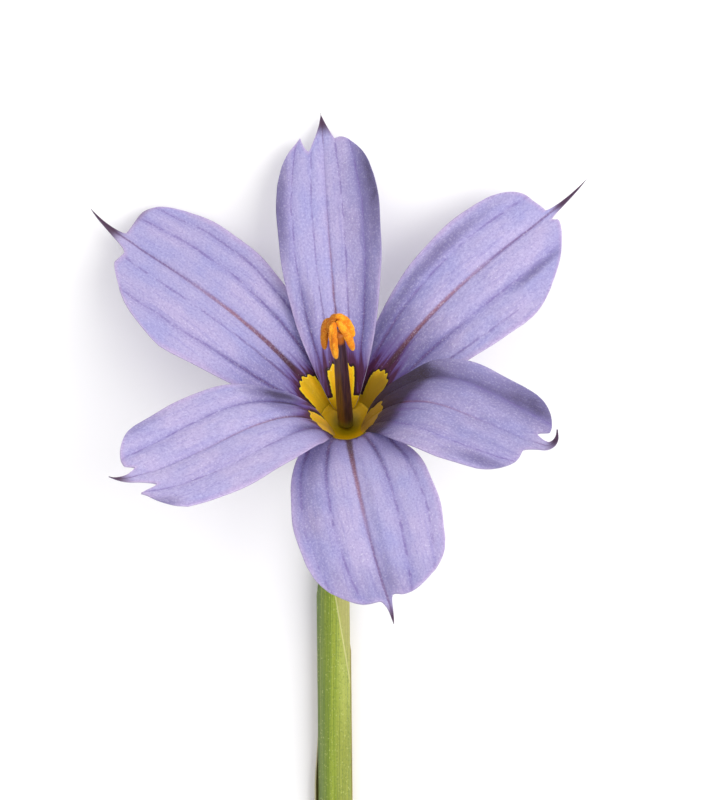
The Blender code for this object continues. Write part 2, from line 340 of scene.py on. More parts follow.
# Living tepal tissue: one layer of domed cells over a thin pale mesophyll. The domes break the gloss into a
# fine sparkle, and a few cells are painted near white as painted glints. The pigment in them is lilac, the
# veins shine through as darker lines, deepened by painted shade in the folds, and patches of painted shade
# darken where a tepal curls or turns from the light.
TEPAL_TISSUE = Finish(
    name="papillate_tepal_tissue",
    ground="#a8a0ca",
    measures=(
        Measure("along", Pattern.ATTRIBUTE, "flow", 0),
        Measure("share", Pattern.ATTRIBUTE, "place", 0),
        Measure("depth", Pattern.ATTRIBUTE, "place", 1),
        Measure("back", Pattern.ATTRIBUTE, "place", 2),
        Measure("mottle", Pattern.NOISE, size=(2.2, 1.3, 1.0), detail=3.0),
        Measure("streak", Pattern.NOISE, size=(2.4, 0.14, 1.0), detail=3.0),
        Measure("waver", Pattern.NOISE, size=(0.5, 0.3, 1.0)),
        Measure("breaks", Pattern.NOISE, size=(0.7, 0.35, 1.0), detail=3.0),
        Measure("teeth", Pattern.NOISE, size=(0.16, 0.09, 1.0)),
        Measure("grain", Pattern.NOISE, size=(0.1, 0.08, 1.0)),
        Measure("cell", Pattern.CELLS, size=(0.045, 0.038, 0.038)),
        Measure("papilla", Pattern.DOMES, size=(0.045, 0.038, 0.038)),
        Measure("margin", Pattern.ATTRIBUTE, "reach", 0, wobble=("waver", 0.12)),
        Measure("vein", Pattern.ATTRIBUTE, "reach", 1, wobble=("waver", 0.1)),
        Measure("eye", Pattern.ATTRIBUTE, "reach", 2, wobble=("teeth", 0.1)),
        Measure("rib", Pattern.ATTRIBUTE, "tone", 0, wobble=("waver", 0.06)),
        # Painted shade, with some violet pigment: dense where a tepal curls or turns from the key light.
        Measure("stain", Pattern.ATTRIBUTE, "tone", 1, wobble=("breaks", 0.5)),
        Measure("halo", Pattern.ATTRIBUTE, "tone", 2, wobble=("streak", 2.4)),
    ),
    coats=(
        coat("#b7a9cd", 0.7, mottle=(0.45, 0.65)),
        coat("#9a98ca", 0.6, mottle=(0.48, 0.34)),
        coat("#8c83bb", 0.35, streak=(0.5, 0.68)),
        coat("#7466b0", 0.55, share=(0.45, 0.12)),
        # Darker violet in the patches of painted shade and pigment.
        coat("#645a88", 0.75, stain=(0.1, 1.0)),
        coat("#33274a", 0.9, stain=(0.8, 1.8)),
        # Vein pigment along the folds, darker where a fold is deeper: partly painted fold shade.
        coat("#8279b4", 0.4, vein=(0.35, 0.0), depth=(0.0, 1.0)),
        coat("#4a4080", 0.65, vein=(0.2, 0.02), depth=(0.2, 1.0), share=(0.55, 0.3)),
        coat("#705a98", 0.6, vein=(0.08, 0.01), breaks=(0.4, 0.56)),
        coat("#b79fc6", 0.5, margin=(0.3, 0.05), stain=(0.8, 0.1)),
        coat("#cdb9da", 0.5, margin=(0.08, 0.02), stain=(0.6, 0.1)),
        # A darker violet band along the midrib: painted shade of its groove.
        coat("#75629a", 0.45, rib=(0.18, 0.02), share=(1.15, 0.6)),
        coat("#936676", 0.9, rib=(0.11, 0.02), share=(0.8, 0.45)),
        coat("#6a4a78", 0.7, rib=(0.06, 0.02), share=(0.6, 0.8)),
        coat("#5b3a80", 0.85, halo=(1.8, 0.3)),
        coat("#6b3a48", 0.8, rib=(0.13, 0.05), share=(0.5, 0.3)),
        coat("#54305f", 0.6, vein=(0.09, 0.02), share=(0.5, 0.2)),
        coat("#3a1620", 0.95, rib=(0.2, 0.05), share=(0.36, 0.18)),
        coat("#4c1c3c", 0.95, halo=(0.75, 0.2)),
        # Near black where the painted shade piles up most.
        coat("#2b1822", 0.9, stain=(1.2, 2.3)),
        coat("#26090f", 0.95, eye=(0.16, 0.05)),
        coat("#f8be00", 1.0, eye=(0.012, -0.012)),
        coat("#ffdc18", 0.8, eye=(-0.1, -0.03, 0.012, -0.012)),
        coat("#b89c04", 0.4, rib=(0.28, 0.05), eye=(-0.02, -0.1)),
        coat("#c49c00", 0.8, along=(0.9, 0.1), eye=(0.02, -0.02)),
        # The yellow patch turned olive under the painted shade, such as on the upper right tepal.
        coat("#8f6c00", 0.8, stain=(0.7, 1.5), eye=(0.02, -0.02)),
        coat("#7f78ab", 0.3, grain=(0.48, 0.32), halo=(0.3, 1.8), stain=(2.5, 0.5)),
        coat("#d2cdec", 0.22, grain=(0.52, 0.68), halo=(0.3, 1.8), stain=(2.2, 0.3)),
        coat("#6f699f", 0.18, cell=(0.3, 0.02), halo=(0.3, 1.8)),
        coat("#dcd8ef", 0.12, cell=(0.7, 0.99), halo=(0.3, 1.8), stain=(2.0, 0.2)),
        # Near-white specks on a few cells: painted glints.
        coat("#ffffff", 0.2, cell=(0.97, 0.995), mottle=(0.45, 0.65), stain=(1.6, 0.2)),
        coat("#402036", 0.92, share=(0.995, 1.06)),
        coat("#b3aacb", 0.6, back=(0.4, 0.6), share=(0.1, 0.3)),
        coat("#8f8a9c", 1.0, back=(0.4, 0.6), share=(0.3, 0.1)),
        coat("#8d9350", 0.9, back=(0.4, 0.6), share=(0.13, 0.03)),
    ),
    reliefs=(Relief("papilla", -0.006), Relief("streak", 0.02)),
    specular=0.3,
    sheen=0.1,
    sheen_tint="#e4dcff",
    glint=Band("cell", 0.96, 1.0),
)

# Joined filaments: firm, dark, satin tissue with lengthwise cells. One of the three is browner, and the foot
# and the top take the green and the orange of what they join.
FILAMENT_TISSUE = Finish(
    name="ribbed_filament_tissue",
    ground="#3d222c",
    measures=(
        Measure("height", Pattern.ATTRIBUTE, "place", 0),
        Measure("west", Pattern.ATTRIBUTE, "place", 1),
        Measure("fibre", Pattern.NOISE, size=(1.2, 0.05, 1.0), detail=3.0),
    ),
    coats=(
        coat("#76501c", 0.85, west=(0.35, 0.8)),
        coat("#4a3530", 0.6, west=(-0.3, -0.9)),
        coat("#54424e", 0.6, height=(0.45, 0.8), west=(-0.2, 0.6)),
        coat("#1c0d12", 0.6, fibre=(0.5, 0.64)),
        coat("#6f4a2a", 0.4, fibre=(0.48, 0.36)),
        coat("#7d7a14", 0.7, height=(0.1, 0.0)),
        coat("#b8660c", 0.9, height=(0.9, 0.94)),
    ),
    reliefs=(Relief("fibre", 0.02),),
    roughness=0.42,
)

# Ripe pollen on open sacs: a powdery crust of grains, warm orange, with painted shade in its slits and a
# browner painted shade over one anther.
POLLEN_CRUST = Finish(
    name="powdery_pollen_crust",
    ground="#e8880a",
    measures=(
        Measure("crown", Pattern.ATTRIBUTE, "place", 1),
        Measure("age", Pattern.ATTRIBUTE, "place", 2),
        Measure("drift", Pattern.NOISE, size=(0.3, 0.3, 0.3), space=Space.OBJECT, detail=3.0),
        Measure("grain", Pattern.CELLS, size=(0.035, 0.035, 0.035), space=Space.OBJECT),
        Measure("dome", Pattern.DOMES, size=(0.035, 0.035, 0.035), space=Space.OBJECT),
    ),
    coats=(
        coat("#ffb01e", 0.8, drift=(0.45, 0.65)),
        coat("#d96c06", 0.8, drift=(0.48, 0.3)),
        # Darker in the slits: painted shade.
        coat("#a84e06", 0.85, crown=(0.75, 0.3)),
        # Browner over a shaded anther: painted shade.
        coat("#9a5208", 0.75, age=(0.0, 1.0)),
        coat("#ffcb4a", 0.4, grain=(0.75, 0.98)),
        coat("#c86c08", 0.4, grain=(0.25, 0.02)),
    ),
    reliefs=(Relief("dome", -0.012),),
    roughness=0.7,
    specular=0.3,
    sheen=0.3,
    sheen_tint="#ffdc8a",
)

# Young ovary wall: smooth waxy green with fine glandular dots. The cup on it is yellower, and yellow inside.
OVARY_TISSUE = Finish(
    name="waxy_ovary_tissue",
    ground="#7d9a3c",
    measures=(
        Measure("down", Pattern.ATTRIBUTE, "place", 0),
        Measure("furrow", Pattern.ATTRIBUTE, "place", 1),
        Measure("outside", Pattern.ATTRIBUTE, "place", 2),
        Measure("mottle", Pattern.NOISE, size=(0.5, 0.5, 0.5), space=Space.OBJECT, detail=3.0),
        Measure("gland", Pattern.DOMES, size=(0.16, 0.16, 0.16), space=Space.OBJECT),
    ),
    coats=(
        coat("#5f7f2a", 0.7, mottle=(0.42, 0.62)),
        coat("#4e6a22", 0.7, furrow=(0.5, 0.0)),
        coat("#b5c46a", 0.5, gland=(0.25, 0.1), down=(0.05, 0.15)),
        coat("#8a9440", 0.9, down=(0.12, 0.02)),
        coat("#8e7800", 1.0, outside=(0.9, 0.6)),
        coat("#d8a800", 0.9, outside=(0.0, 0.45, 0.9, 0.6)),
    ),
    reliefs=(Relief("gland", -0.015),),
    roughness=0.42,
    specular=0.3,
)


def stalk_finish(name: str, ground: str, dark: str, light: str) -> Finish:
    """Green stalk tissue with lengthwise ribs of stronger cells, satin, with pale dots of stomata.

    Args:
        name: the material's name.
        ground: the main green.
        dark: the green of the furrows.
        light: the green of the ribs' tops.

    Returns:
        The finish.
    """
    return Finish(
        name=name,
        ground=ground,
        measures=(
            Measure("rib", Pattern.NOISE, size=(0.09, 4.0, 0.09), space=Space.OBJECT, detail=3.0),
            Measure("mottle", Pattern.NOISE, size=(0.7, 2.5, 0.7), space=Space.OBJECT),
            Measure("dot", Pattern.CELLS, size=(0.06, 0.1, 0.06), space=Space.OBJECT),
        ),
        coats=(
            coat(dark, 0.7, rib=(0.5, 0.64)),
            coat(light, 0.7, rib=(0.48, 0.34)),
            coat(light, 0.5, mottle=(0.5, 0.66)),
            coat("#dfe6a8", 0.5, dot=(0.93, 0.97)),
        ),
        reliefs=(Relief("rib", 0.05),),
        roughness=0.4,
    )


STEM_TISSUE = stalk_finish("winged_stem_tissue", "#7c9430", "#587628", "#98a83c")
PEDICEL_TISSUE = stalk_finish("smooth_pedicel_tissue", "#8aa640", "#6a8834", "#a8bc58")

# Spathe leaf: fibrous green tissue with fine parallel veins, greyer where its wax is whole, and a pale papery
# margin without green.
BRACT_TISSUE = Finish(
    name="fibrous_bract_tissue",
    ground="#87982a",
    measures=(
        Measure("along", Pattern.ATTRIBUTE, "place", 0),
        Measure("east", Pattern.ATTRIBUTE, "place", 1),
        Measure("paper", Pattern.ATTRIBUTE, "place", 2),
        Measure("strand", Pattern.NOISE, size=(0.05, 6.0, 1.0), space=Space.OBJECT, detail=3.0),
        Measure("band", Pattern.NOISE, size=(0.3, 14.0, 2.0), space=Space.OBJECT),
        Measure("dot", Pattern.CELLS, size=(0.035, 0.05, 0.2), space=Space.OBJECT),
        Measure("grain", Pattern.NOISE, size=(0.07, 0.09, 0.2), space=Space.OBJECT),
    ),
    coats=(
        coat("#a6aa2c", 0.5, band=(0.45, 0.65)),
        coat("#a8ae58", 0.7, east=(0.1, 0.6)),
        coat("#848c32", 0.8, along=(0.5, 0.28), east=(-0.1, 0.3)),
        coat("#7a8e32", 0.9, east=(-0.15, -0.4)),
        coat("#70853c", 0.8, east=(-0.4, -0.7)),
        coat("#4c6424", 0.7, east=(-0.75, -0.95)),
        coat("#587230", 0.35, strand=(0.5, 0.62)),
        coat("#aeb64c", 0.3, strand=(0.48, 0.36)),
        coat("#5c7028", 0.4, grain=(0.5, 0.68)),
        coat("#c6cc7c", 0.4, dot=(0.95, 0.98)),
        coat("#a8a062", 0.7, paper=(0.0, 0.12), along=(0.35, 0.75)),
        coat("#cfc88c", 0.6, paper=(-0.03, 0.0, 0.06, 0.02), along=(0.35, 0.6)),
    ),
    reliefs=(Relief("strand", 0.03),),
    roughness=0.45,
    specular=0.3,
)

# Inner spathe leaf: the same tissue, older and drier toward its edges, so olive brown.
DRY_BRACT_TISSUE = Finish(
    name="drying_bract_tissue",
    ground="#7f8634",
    measures=(
        Measure("east", Pattern.ATTRIBUTE, "place", 1),
        Measure("strand", Pattern.NOISE, size=(0.05, 6.0, 1.0), space=Space.OBJECT, detail=3.0),
        Measure("band", Pattern.NOISE, size=(0.3, 8.0, 2.0), space=Space.OBJECT),
    ),
    coats=(
        coat("#b3a75a", 0.7, band=(0.45, 0.6)),
        coat("#6a5f2c", 0.8, east=(-0.5, -0.85)),
        coat("#cfc9a0", 0.7, east=(-0.95, -0.985)),
        coat("#a8985a", 0.8, east=(0.6, 0.9)),
        coat("#6a6a2a", 0.5, strand=(0.5, 0.62)),
    ),
    reliefs=(Relief("strand", 0.03),),
    roughness=0.45,
)

# Matt studio board, a warm white with a trace of unevenness.
STUDIO_BOARD = Finish(
    name="matt_studio_board",
    ground="#fbfaf8",
    measures=(Measure("cloud", Pattern.NOISE, size=(60.0, 60.0, 60.0), space=Space.OBJECT),),
    coats=(coat("#f6f5f3", 0.5, cloud=(0.4, 0.6)),),
    roughness=0.9,
    specular=0.2,
)


# Meshes: closed shells from grids of points


@dataclass
class Shell:
    """A closed surface: its points in millimetres, its faces, and vectors that its material reads."""

    points: np.ndarray
    faces: list[list[int]]
    fields: dict[str, np.ndarray]

    @staticmethod
    def joined(shells: list["Shell"]) -> "Shell":
        """Puts several shells into one, each still closed by itself.

        Args:
            shells: the shells, all with the same fields.

        Returns:
            One shell that holds them.
        """
        faces: list[list[int]] = []
        start = 0
        for shell in shells:
            faces += [[start + k for k in face] for face in shell.faces]
            start += len(shell.points)
        fields = {name: np.vstack([shell.fields[name] for shell in shells]) for name in shells[0].fields}
        return Shell(np.vstack([shell.points for shell in shells]), faces, fields)


def closed_sheet(upper: np.ndarray, lower: np.ndarray, fields: dict[str, np.ndarray]) -> Shell:
    """Closes two grids, one over the other, with a rim round all four sides.

    Args:
        upper: the face's points, rows by columns by 3, with the columns running to the right of the rows.
        lower: the back's points, in the same grid.
        fields: for each name, its vectors on the face and the back, 2 by rows by columns by 3.

    Returns:
        The shell.
    """
    rows, columns = upper.shape[:2]
    k = np.arange(rows * columns).reshape(rows, columns)
    face = np.stack([k[:-1, :-1], k[:-1, 1:], k[1:, 1:], k[1:, :-1]], axis=-1).reshape(-1, 4)
    back = face[:, ::-1] + rows * columns
    ring = np.concatenate([k[0, :-1], k[:-1, -1], k[-1, :0:-1], k[:0:-1, 0]])
    after = np.roll(ring, -1)
    rim = np.stack([after, ring, ring + rows * columns, after + rows * columns], axis=-1)
    return Shell(
        np.concatenate([upper.reshape(-1, 3), lower.reshape(-1, 3)]),
        np.concatenate([face, back, rim]).tolist(),
        {name: values.reshape(-1, 3) for name, values in fields.items()},
    )


def closed_tube(rings: np.ndarray, fields: dict[str, np.ndarray]) -> Shell:
    """Closes a tube of rings with a fan round a middle point at each end.

    Args:
        rings: the points, rows by sides by 3, turning anticlockwise about the way that the rows run.
        fields: for each name, its vectors in the same grid.

    Returns:
        The shell.
    """

    def with_middles(grid: np.ndarray) -> np.ndarray:
        """A grid's vectors as one list, and after them the means of its first and its last ring."""
        return np.concatenate([grid.reshape(-1, 3), grid[[0, -1]].mean(axis=1)])

    rows, sides = rings.shape[:2]
    k = np.arange(rows * sides).reshape(rows, sides)
    beside = np.roll(k, -1, axis=1)
    quads = np.stack([k[:-1], beside[:-1], beside[1:], k[1:]], axis=-1).reshape(-1, 4)
    first = np.stack([np.full(sides, rows * sides), beside[0], k[0]], axis=-1)
    last = np.stack([np.full(sides, rows * sides + 1), k[-1], beside[-1]], axis=-1)
    faces = quads.tolist() + first.tolist() + last.tolist()
    return Shell(with_middles(rings), faces, {name: with_middles(values) for name, values in fields.items()})


def normals(grid: np.ndarray) -> np.ndarray:
    """The face directions of a grid: the step along a row, crossed with the step down a column."""
    return unit(np.cross(np.gradient(grid, axis=1), np.gradient(grid, axis=0)))


def sweep(path: np.ndarray, across: np.ndarray, right: np.ndarray, up: np.ndarray) -> np.ndarray:
    """Carries a section along a path: each point is the path's, plus right times x, plus up times y.

    Args:
        path: the middle line, rows by 3.
        across: a direction, which squared to the path gives x; y is the path's direction crossed with x.
        right: the section's places along x, rows by sides, or one row for a section that stays the same.
        up: the section's places along y, in the same way.

    Returns:
        The rings, rows by sides by 3.
    """
    tangent = unit(np.gradient(path, axis=0))
    x = unit(across - tangent * (tangent @ across)[:, None])
    y = np.cross(tangent, x)
    return path[:, None, :] + right[..., None] * x[:, None, :] + up[..., None] * y[:, None, :]


def round_section(radius: np.ndarray, angle: np.ndarray) -> tuple[np.ndarray, np.ndarray]:
    """A round section's places to the right and up: the radius times the cosine and the sine of the angle."""
    return radius * np.cos(angle), radius * np.sin(angle)


def bezier(knots: tuple[np.ndarray, ...], share: np.ndarray) -> np.ndarray:
    """Points of a cubic Bezier curve: its knots, weighed by powers of the share of the run and of its rest.

    Args:
        knots: the four knots.
        share: shares of the run, a column from 0 to 1.

    Returns:
        The points, rows by 3.
    """
    a, b, c, d = knots
    rest = 1 - share
    return rest**3 * a + 3 * share * rest**2 * b + 3 * share**2 * rest * c + share**3 * d


def add_piece(name: str, shell: Shell, finish: bpy.types.Material, node: str) -> None:
    """Makes a piece from a shell, dresses it and hands it to the frame.

    Args:
        name: the piece's name.
        shell: its surface, in millimetres in the frame's place.
        finish: its material.
        node: the CAD node that it stands for.
    """
    mesh = bpy.data.meshes.new(name)
    mesh.from_pydata((shell.points * MM).tolist(), [], shell.faces)
    for title, vectors in shell.fields.items():
        attribute = mesh.attributes.new(title, "FLOAT_VECTOR", "POINT")
        attribute.data.foreach_set("vector", vectors.astype(np.float32).ravel())
    mesh.shade_smooth()
    mesh.materials.append(finish)
    piece = bpy.data.objects.new(name, mesh)
    bpy.context.scene.collection.objects.link(piece)
    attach(piece, BODY)
    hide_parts(node)
    LOG.info("%s: %d points, %d faces", name, len(mesh.vertices), len(mesh.polygons))


# The flower's pose


@dataclass(frozen=True)
class FlowerPose:
    """How the flower's own frame stands: its axis tilts toward +Y and leans to the left."""

    column: bpy.types.Object
    tilt: float = 38.0
    lean: float = -2.7
    column_foot: float = 0.25
    foot_depth: float = 0.02

    def axes(self) -> np.ndarray:
        """The frame's x, y and z, turned by the tilt and the lean.

        Returns:
            A matrix with the three directions as its columns.
        """
        tilt, lean = np.radians(self.tilt), np.radians(self.lean)
        up = np.array([0.0, np.cos(tilt), -np.sin(tilt)])
        axis = np.array([np.sin(lean), np.cos(lean) * np.sin(tilt), np.cos(lean) * np.cos(tilt)])
        return np.stack([np.cross(up, axis), up, axis], axis=1)

    def root(self) -> np.ndarray:
        """Finds the flower's root below the foot of the CAD's column of filaments.

        Returns:
            Its place in millimetres: the middle of the foot's rim, less the foot's height along the axis.
        """
        mesh = self.column.data
        points = np.zeros(len(mesh.vertices) * 3, np.float32)
        mesh.vertices.foreach_get("co", points)
        points = np.unique(np.round(points.reshape(-1, 3) / MM, 4), axis=0)
        heights = points @ self.axes()[:, 2]
        foot = points[heights < heights.min() + self.foot_depth].mean(axis=0)
        return foot - self.column_foot * self.axes()[:, 2]

    def place(self, points: np.ndarray) -> np.ndarray:
        """Moves points from the flower's frame to where they lie."""
        return points @ self.axes().T + self.root()


# Tepals


class Whorl(Enum):
    """The two rings of tepals: the inner ones lie in front of the outer ones."""

    INNER = "inner"
    OUTER = "outer"


# How far from the axis the tepals of each whorl are rooted, and how far they are moved toward their faces.
ROOT_RADIUS = {Whorl.INNER: 0.78, Whorl.OUTER: 0.92}
LIFT = {Whorl.INNER: 0.06, Whorl.OUTER: -0.06}

# The distance from the yellow patch that the backs of the blades count as, so that they stay plain.
FAR = 5.0

# The share of the half width over which a horn fades.
HORN_SPREAD = 0.07


@dataclass(frozen=True)
class EndHalf:
    """One side of a tepal's tip: shares of the blade's length, and where they lie across its half width."""

    notch: float
    notch_at: float
    lobe: float
    lobe_at: float
    shoulder: float
    horn: float = 0.0
    rounding: float = 2.0

    def reach(self, across: np.ndarray, awn: float, taper: float) -> np.ndarray:
        """How far along its midrib the blade reaches at each share of its half width.

        From the middle out, the awn falls to the notch by a power of the way, a smooth step leads to the
        lobe, and a quarter of an ellipse, squarer or flatter by its power, rounds off to the shoulder. A horn
        is a sharp peak on the lobe.

        Args:
            across: shares of the half width, from 0 to 1.
            awn: the awn's length, as a share of the blade's.
            taper: the power by which the awn narrows.

        Returns:
            Shares of the blade's length.
        """
        spine = self.notch + (1 + awn - self.notch) * np.clip(1 - across / self.notch_at, 0, 1) ** taper
        step = self.notch + (self.lobe - self.notch) * smooth_step(across, self.notch_at, self.lobe_at)
        out = np.clip((across - self.lobe_at) / (1 - self.lobe_at), 0, 1)
        rounded = (1 - out**self.rounding) ** (1 / self.rounding)
        rounded = self.shoulder + (self.lobe - self.shoulder) * rounded
        ends = np.where(across < self.notch_at, spine, np.where(across < self.lobe_at, step, rounded))
        return ends + self.horn * np.exp(-np.abs(across - self.lobe_at) / HORN_SPREAD)


@dataclass(frozen=True)
class Tepal:
    """One tepal: its line, outline, tip and folds.

    The midrib rises by slopes that are given at each fifth of its length, turning by the bend. Across it,
    the blade has a half width with a narrow claw, and rounds in to its notched tip. Pairs of values are for
    its left and right halves. A fold has its place across and its depth. A patch of painted shade and violet
    pigment has its places along and across, its spreads along and across, and its density.
    """

    node: str
    whorl: Whorl
    azimuth: float
    bend: float
    length: float
    half_width: float
    slopes: tuple[float, ...]
    left: EndHalf
    right: EndHalf
    awn: float
    awn_turn: float
    folds: tuple[tuple[float, float], ...]
    stains: tuple[tuple[float, float, float, float, float], ...]
    eye_length: float
    chance: float
    halo: float
    awn_lift: float = 0.0
    taper: float = 1.6
    root_roll: float = 0.0
    roll: float = 0.0
    tip_roll: float = 0.0
    skew: float = 0.0
    widest: float = 0.62
    narrow: float = 0.28
    curl: tuple[float, float] = (-0.1, -0.1)
    settle: float = 0.0
    claw: float = 0.2
    fill: tuple[float, float] = (0.8, 0.8)
    wrap: tuple[float, float] = (1.0, 1.0)
    cup: float = 0.1
    tip_cup: float = 0.05
    eye_half_width: float = 0.42
    throat_length: float = 0.55
    middle_thickness: float = 0.11
    margin_thickness: float = 0.04
    rib_fold: float = 0.09
    rib_spread: float = 0.12
    rib_groove: float = 0.04
    fold_spread: float = 0.13
    vein_groove: float = 0.012
    groove_spread: float = 0.03
    wave_height: float = 0.07
    waves: float = 1.7
    wave_shift: float = 0.37
    uneven: float = 0.008
    uneven_waves: float = 4.3
    wrap_run: tuple[float, float] = (0.06, 0.32)
    least_wrap: float = 0.01
    eye_tooth: float = 0.06
    eye_teeth: float = 1.9
    eye_end_bow: float = 0.25
    rows: int = 180
    columns: int = 121

    def midline(self, share: np.ndarray) -> tuple[np.ndarray, np.ndarray, np.ndarray]:
        """The midrib's points and the sheet's side and face directions.

        The slope runs straight between its given values, the turn grows by the power 1.5 of the share, and
        the points add up the directions along the way.

        Args:
            share: shares of the blade's length in rising steps, from 0 to past 1 in the awn.

        Returns:
            Points, sides and faces, each rows by 3, in the flower's frame.
        """
        blade = np.clip(share, 0, 1)
        past = np.clip((share - 1) / self.awn, 0, 1)
        slope = np.interp(blade, np.linspace(0, 1, len(self.slopes)), self.slopes)
        slope = np.radians(slope + self.awn_lift * past)
        turn = np.radians(self.azimuth + self.bend * blade**1.5 + self.awn_turn * past)
        along = stacked(np.cos(slope) * np.sin(turn), np.cos(slope) * np.cos(turn), np.sin(slope))
        side = stacked(np.cos(turn), -np.sin(turn), 0.0)
        face = np.cross(side, along)
        roll = self.roll + (self.tip_roll - self.roll) * blade
        roll = np.radians(roll + self.root_roll * (1 - smooth_step(blade, 0.03, 0.35)))[:, None]
        side, face = side * np.cos(roll) + face * np.sin(roll), face * np.cos(roll) - side * np.sin(roll)
        azimuth = np.radians(self.azimuth)
        root = ROOT_RADIUS[self.whorl] * np.array([np.sin(azimuth), np.cos(azimuth), 0.0])
        steps = np.diff(share)[:, None] * self.length
        points = root + np.vstack([np.zeros(3), np.cumsum((along[1:] + along[:-1]) / 2 * steps, axis=0)])
        return points, side, face

    def half_width_at(self, share: np.ndarray, across: np.ndarray) -> np.ndarray:
        """The sheet's half width: a power of a quarter sine out of the claw, then a parabola in.

        Args:
            share: shares of the blade's length.
            across: shares of the half width, whose sign tells the side.

        Returns:
            Half widths in millimetres, with a slight unevenness along the margin.
        """
        fill = np.where(across < 0, *self.fill)
        claw = self.claw + (1 - self.claw) * np.sin(np.clip(share / self.widest, 0, 1) * np.pi / 2) ** fill
        past = np.clip((share - self.widest) / (1 - self.widest), 0, 1.4)
        wave = np.sin(2 * np.pi * (self.uneven_waves * share + self.chance))
        uneven = self.uneven * wave * smooth_step(share, 0.3, 0.6)
        half = self.half_width * (claw * (1 - self.narrow * past**2) + uneven)
        return half * (1 + self.skew * np.sign(across))

    def relief(self, share: np.ndarray, across: np.ndarray) -> np.ndarray:
        """Height of the folds over the cupped sheet, in millimetres.

        Each vein lies in a wide soft fold with a narrow groove in it, both bell curves of the distance
        across. The margins curl by the fourth power of the distance, and rise and fall in slow waves.

        Args:
            share: shares of the blade's length.
            across: shares of the half width, from -1 to 1.

        Returns:
            Heights toward the face.
        """
        height = -self.rib_fold * bell(across, self.rib_spread)
        height = height - self.rib_groove * bell(across, self.groove_spread)
        for place, depth in self.folds:
            away = across - place
            height = height - depth * bell(away, self.fold_spread)
            height = height - self.vein_groove * bell(away, self.groove_spread)
        shift = np.where(across < 0, 0.0, self.wave_shift)
        wave = np.sin(2 * np.pi * (self.waves * share + shift + self.chance))
        height = height + np.where(across < 0, *self.curl) * across**4
        height = height + self.wave_height * wave * np.abs(across) ** 3
        return height * smooth_step(share, 0.04, 0.3) * (1 - 0.7 * smooth_step(share, 0.9, 1.0))

    def ends(self, across: np.ndarray) -> np.ndarray:
        """How far along the midrib each half reaches, at signed shares of the half width."""
        left, right = (half.reach(np.abs(across), self.awn, self.taper) for half in (self.left, self.right))
        return np.where(across < 0, left, right)

    def grid(self) -> tuple[np.ndarray, np.ndarray]:
        """Where the sheet's points lie on the blade.

        Returns:
            The shares along and across, each rows by columns. The rows bend to follow the tip, by a power of
            the way, and the columns crowd toward the midrib, where the awn is narrow.
        """
        along = rows_down(self.rows)
        steps = np.linspace(-1, 1, self.columns)[None, :]
        across = np.sign(steps) * np.abs(steps) ** 1.4
        share = along * (1 + (self.ends(across) - 1) * along**1.2)
        return share, np.broadcast_to(across, share.shape)

    def surface(self) -> tuple[np.ndarray, np.ndarray, np.ndarray, np.ndarray]:
        """The sheet's middle surface in the flower's frame.

        Near its root the sheet is part of a cone round the flower's axis: a point goes sideways by the sine
        of its angle round the axis, and toward the face by one less its cosine. Farther out it is nearly
        flat, with a slight cup.

        Returns:
            Points, shares along, shares across, and distances from the midrib in millimetres.
        """
        share, across = self.grid()
        line = np.linspace(0, 1 + self.awn, 400)
        points, side, face = self.midline(line)
        offset = across * self.half_width_at(share, across)

        def read(table: np.ndarray) -> np.ndarray:
            """Reads a table of vectors at each point's share."""
            return np.stack([np.interp(share, line, table[:, k]) for k in range(3)], axis=-1)

        wrap = np.sin(np.radians(self.slopes[0])) / np.hypot(points[:, 0], points[:, 1])
        wrap = np.interp(share, line, wrap * (1 - smooth_step(line, *self.wrap_run)))
        wrap = np.maximum(wrap * np.where(across < 0, *self.wrap), self.least_wrap)
        width = offset * np.sinc(wrap * offset / np.pi)
        bow = wrap / 2 * (offset * np.sinc(wrap * offset / 2 / np.pi)) ** 2
        cup = self.cup + (self.tip_cup - self.cup) * np.clip(share, 0, 1)
        bow = bow + cup * offset**2 / self.half_width + self.relief(share, across)
        middle = read(points) + read(side) * width[..., None] + read(face) * bow[..., None]
        return middle, share, across, offset

    def eye_distance(self, along: np.ndarray, offset: np.ndarray) -> np.ndarray:
        """How far a point lies outside the yellow patch, in millimetres; inside, the number is below 0.

        The patch is a tongue: its half width swells as part of a sine and its end has a few teeth. In the
        throat the yellow spreads over the whole claw.

        Args:
            along: distances from the root.
            offset: distances from the midrib.

        Returns:
            Distances.
        """
        x = np.clip(along / self.eye_length, 0, 1)
        across = offset / self.eye_half_width
        half = self.eye_half_width * (0.45 + 0.55 * np.sin(np.pi * (0.05 + 0.55 * x)))
        teeth = self.eye_tooth * np.cos(2 * np.pi * (across * self.eye_teeth + self.chance))
        end = along - self.eye_length - teeth + self.eye_end_bow * across**2
        return np.minimum(np.maximum(np.abs(offset) - half, end), along - self.throat_length)

    def stain(self, share: np.ndarray, across: np.ndarray) -> np.ndarray:
        """How dense the painted shade and violet pigment are: a sum of patches, each a bell curve along times
        one across.

        Args:
            share: shares of the blade's length.
            across: shares of the half width, from -1 to 1.

        Returns:
            Densities, 0 where there is neither painted shade nor pigment.
        """
        density = np.zeros_like(share)
        for u, t, long, wide, most in self.stains:
            density = density + most * bell(share - u, long) * bell(across - t, wide)
        return density

